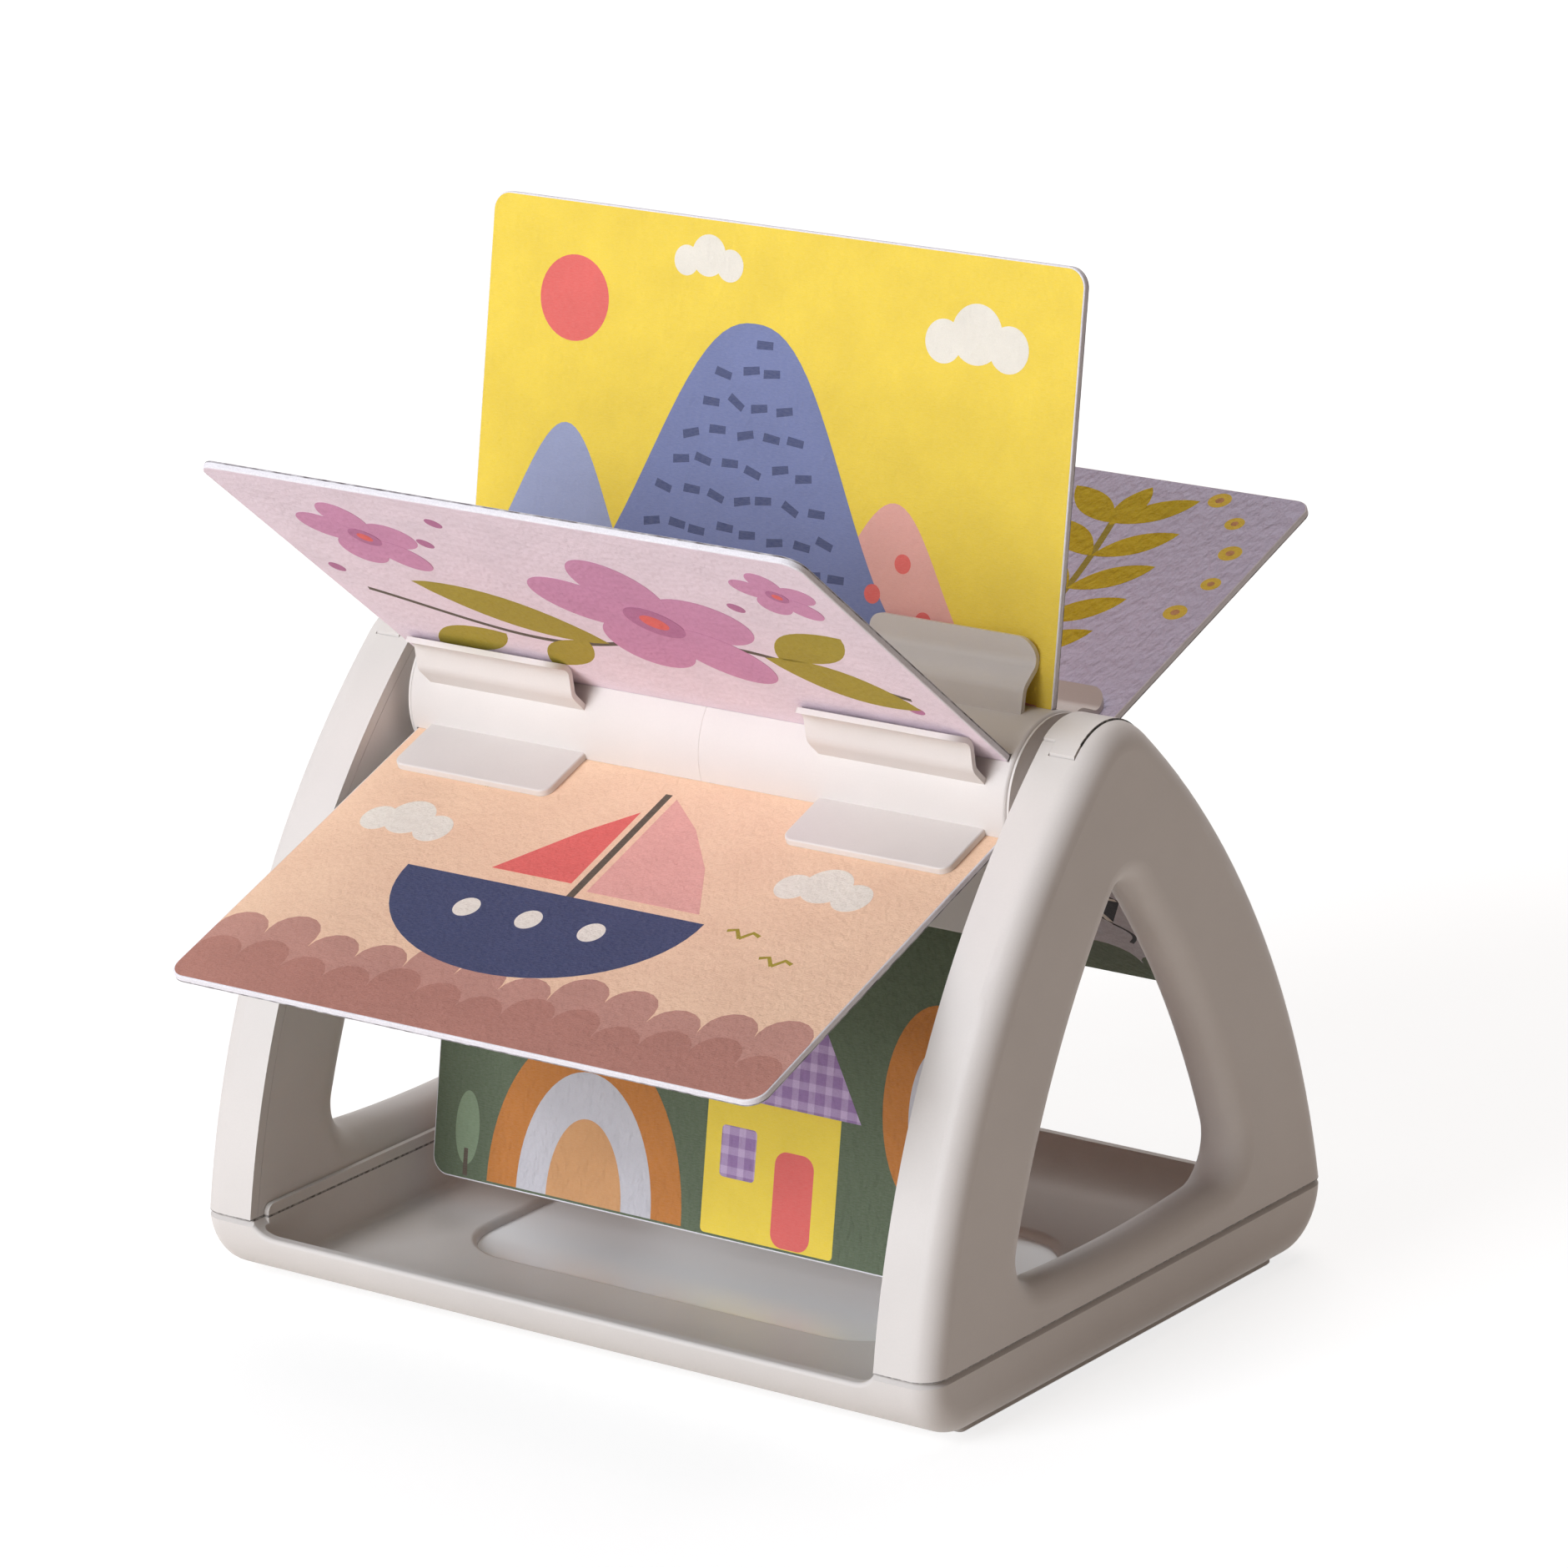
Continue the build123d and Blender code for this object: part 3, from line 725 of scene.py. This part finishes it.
# Each card's two pictures: the side towards rising angles, and the side away from them
PRINTS = [
    ("card_back_upper", 1, "lavender", picture_fern(), "board_lavender"),
    ("card_back_upper", -1, "sky", picture_balloons(("coral", "yellow", "periwinkle")), "board_lavender"),
    ("card_top", 1, "yellow", picture_hills(), "board_yellow"),
    ("card_top", -1, "blush", picture_arches("coral", "yellow", "periwinkle"), "board_yellow"),
    ("card_front_upper", 1, "pink", picture_blossoms(), "board_pink"),
    ("card_front_upper", -1, "cream", picture_drops("mauve", "olive"), "board_pink"),
    ("card_front_lower", 1, "sky", picture_drops("navy", "coral"), "board_peach"),
    ("card_front_lower", -1, "peach", picture_boat(), "board_peach"),
    ("card_bottom", 1, "apricot", picture_mushrooms(), "board_green"),
    ("card_bottom", -1, "green", picture_house(), "board_green"),
    ("card_back_lower", 1, "periwinkle_light", picture_arches("navy", "cream", "coral"), "board_grey"),
    ("card_back_lower", -1, "grey", picture_kites("green", "charcoal"), "board_grey"),
]


# Building


inks = {name: ink("ink_" + name, colour, name in COARSE_INKS) for name, colour in INK_COLOURS.items()}
inks["gingham"] = gingham("ink_gingham", GINGHAM_LIGHT, GINGHAM_DARK, GINGHAM_PITCH)


def background_outline():
    """The printed sheet's outline in card millimetres: along the drum, and out from the axis."""
    corner = CARD_CORNER - PRINT_INSET
    tip = CARD_TIP - PRINT_INSET
    left = ring_points((-HALF + corner, tip - corner), (corner, corner), 180, 90, 12)
    right = ring_points((HALF - corner, tip - corner), (corner, corner), 90, 0, 12)
    return [(-HALF, PRINT_ROOT)] + left + right + [(HALF, PRINT_ROOT)]


def to_card(point, side):
    """A picture's point as (along the drum, out from the axis)."""
    x, up = point
    return (x, CARD_ROOT + up) if side > 0 else (x, CARD_TIP - PRINT_INSET - up)


def add_plate(mesh, uv_layer, outline, low, high, place, slot_index):
    """A closed thin plate over an outline, from one depth to another."""
    rings = []
    for depth in (low, high):
        rings.append([mesh.verts.new(place(x, v, depth)) for x, v in outline])
    plan = {vertex: point for ring in rings for vertex, point in zip(ring, outline)}
    faces = [mesh.faces.new(rings[0][::-1]), mesh.faces.new(rings[1])]
    count = len(outline)
    below, above = rings
    for index in range(count):
        following = (index + 1) % count
        faces.append(mesh.faces.new([below[index], below[following], above[following], above[index]]))
    for face in faces:
        face.material_index = slot_index
        for loop in face.loops:
            loop[uv_layer].uv = plan[loop.vert]


def print_sheet(card, side, base_ink, art):
    """One printed side of a card as a single piece with a material for each ink."""
    angle = math.radians(CARD_ANGLES[card])
    outward = Vector((0.0, math.cos(angle), math.sin(angle)))
    normal = Vector((0.0, -math.sin(angle), math.cos(angle))) * side
    axis = Vector((0.0, 0.0, AXIS_HEIGHT))

    def place(x, v, depth):
        return (axis + Vector((x, 0.0, 0.0)) + outward * v + normal * depth) * MM

    names = [base_ink] + sorted({name for name, _, _ in art} - {base_ink})
    mesh = bmesh.new()
    uv_layer = mesh.loops.layers.uv.new("card")
    foot = CARD_FACE - PRINT_BASE
    add_plate(mesh, uv_layer, background_outline(), foot, CARD_FACE + PRINT_BASE, place, 0)
    for name, outline, layer in art:
        points = [to_card(point, side) for point in outline]
        top = CARD_FACE + PRINT_BASE + PRINT_STEP * layer
        add_plate(mesh, uv_layer, points, foot, top, place, names.index(name))
    bmesh.ops.recalc_face_normals(mesh, faces=mesh.faces)
    name = f"print_{card[5:]}_{'a' if side > 0 else 'b'}"
    data = bpy.data.meshes.new(name)
    mesh.to_mesh(data)
    mesh.free()
    for ink_name in names:
        data.materials.append(inks[ink_name])
    sheet = bpy.data.objects.new(name, data)
    bpy.context.scene.collection.objects.link(sheet)
    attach(sheet, "carousel")


for card, side, base_ink, art, slot in PRINTS:
    print_sheet(card, side, base_ink, art)


def dress(node_name, material):
    """Give a part its finished material in every slot."""
    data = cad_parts[node_name].data
    if not data.materials:
        data.materials.append(material)
    for index in range(len(data.materials)):
        data.materials[index] = material


# The frame's plastic carries the painted shade of the gaps at its joints
frame_plastic = plastic("frame_plastic_look", WARM_GREY, 0.46, True)
drum_plastic = plastic("drum_plastic_look", WARM_GREY, 0.42)
mirror_look = satin_mirror("mirror_look", MIRROR_SILVER)
steel_look = steel("steel_look", STEEL_GREY)

for node_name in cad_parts:
    if node_name.startswith("card_"):
        side = 1 if node_name in GLUE_ON_RISING_SIDE else -1
        angle = math.radians(CARD_ANGLES[node_name])
        edge = board(node_name + "_board", BOARD_WHITE, GLUE_BROWN, angle, side)
        dress(node_name, edge)
    elif "drum" in node_name:
        dress(node_name, drum_plastic)
    elif node_name == "mirror":
        dress(node_name, mirror_look)
    elif "screws" in node_name:
        dress(node_name, steel_look)
    else:
        dress(node_name, frame_plastic)


# Floor, light and camera


def stage_floor():
    mesh = bmesh.new()
    bmesh.ops.create_grid(mesh, x_segments=FLOOR_CELLS, y_segments=FLOOR_CELLS, size=FLOOR_HALF_SIDE)
    data = bpy.data.meshes.new("floor")
    mesh.to_mesh(data)
    mesh.free()
    floor = bpy.data.objects.new("floor", data)
    floor.location.z = -FLOOR_DROP
    bpy.context.scene.collection.objects.link(floor)
    data.materials.append(backdrop("floor_look"))


def area_light(name, energy, size, place, target, colour):
    light = bpy.data.lights.new(name, "AREA")
    light.shape = "RECTANGLE"
    light.size, light.size_y = size
    light.energy = energy
    light.color = colour
    lamp = bpy.data.objects.new(name, light)
    lamp.location = place
    lamp.rotation_mode = "QUATERNION"
    lamp.rotation_quaternion = (Vector(target) - Vector(place)).to_track_quat("-Z", "Y")
    bpy.context.scene.collection.objects.link(lamp)


def light_world(colour, strength):
    """A soft warm room that shows plain white to the camera and in reflections."""
    world = bpy.data.worlds.new("room")
    bpy.context.scene.world = world
    world.use_nodes = True
    tree = world.node_tree
    room = tree.nodes["Background"]
    room.inputs["Color"].default_value = colour
    room.inputs["Strength"].default_value = strength
    white = put(tree, "ShaderNodeBackground", {"Color": WHITE, "Strength": 1.0})
    shaders = {0: seen_directly(tree), 1: room.outputs[0], 2: white.outputs[0]}
    mix = put(tree, "ShaderNodeMixShader", shaders)
    tree.links.new(mix.outputs[0], tree.nodes["World Output"].inputs["Surface"])


def place_camera():
    azimuth, elevation, roll = (math.radians(v) for v in (AZIMUTH, ELEVATION, ROLL))
    back = Vector((
        math.sin(azimuth) * math.cos(elevation),
        -math.cos(azimuth) * math.cos(elevation),
        math.sin(elevation),
    ))
    level_right = Vector((0.0, 0.0, 1.0)).cross(back).normalized()
    level_up = back.cross(level_right)
    right = level_right * math.cos(roll) + level_up * math.sin(roll)
    up = level_up * math.cos(roll) - level_right * math.sin(roll)
    data = bpy.data.cameras.new("camera")
    data.sensor_width = SENSOR_WIDTH
    data.lens = FOCAL_PIXELS / IMAGE_SIDE * SENSOR_WIDTH
    data.clip_start, data.clip_end = CLIP_NEAR, CLIP_FAR
    camera = bpy.data.objects.new("camera", data)
    place = Vector((0.0, 0.0, AXIS_HEIGHT)) - right * SLIDE_RIGHT - up * SLIDE_UP + back * DISTANCE
    turn = Matrix((right, up, back)).transposed().to_4x4()
    camera.matrix_world = Matrix.Translation(place * MM) @ turn
    bpy.context.scene.collection.objects.link(camera)
    bpy.context.scene.camera = camera


stage_floor()
for lamp in LAMPS:
    area_light(*lamp)
light_world(ROOM_COLOUR, ROOM_STRENGTH)
place_camera()
bpy.context.scene.view_settings.view_transform = "Standard"
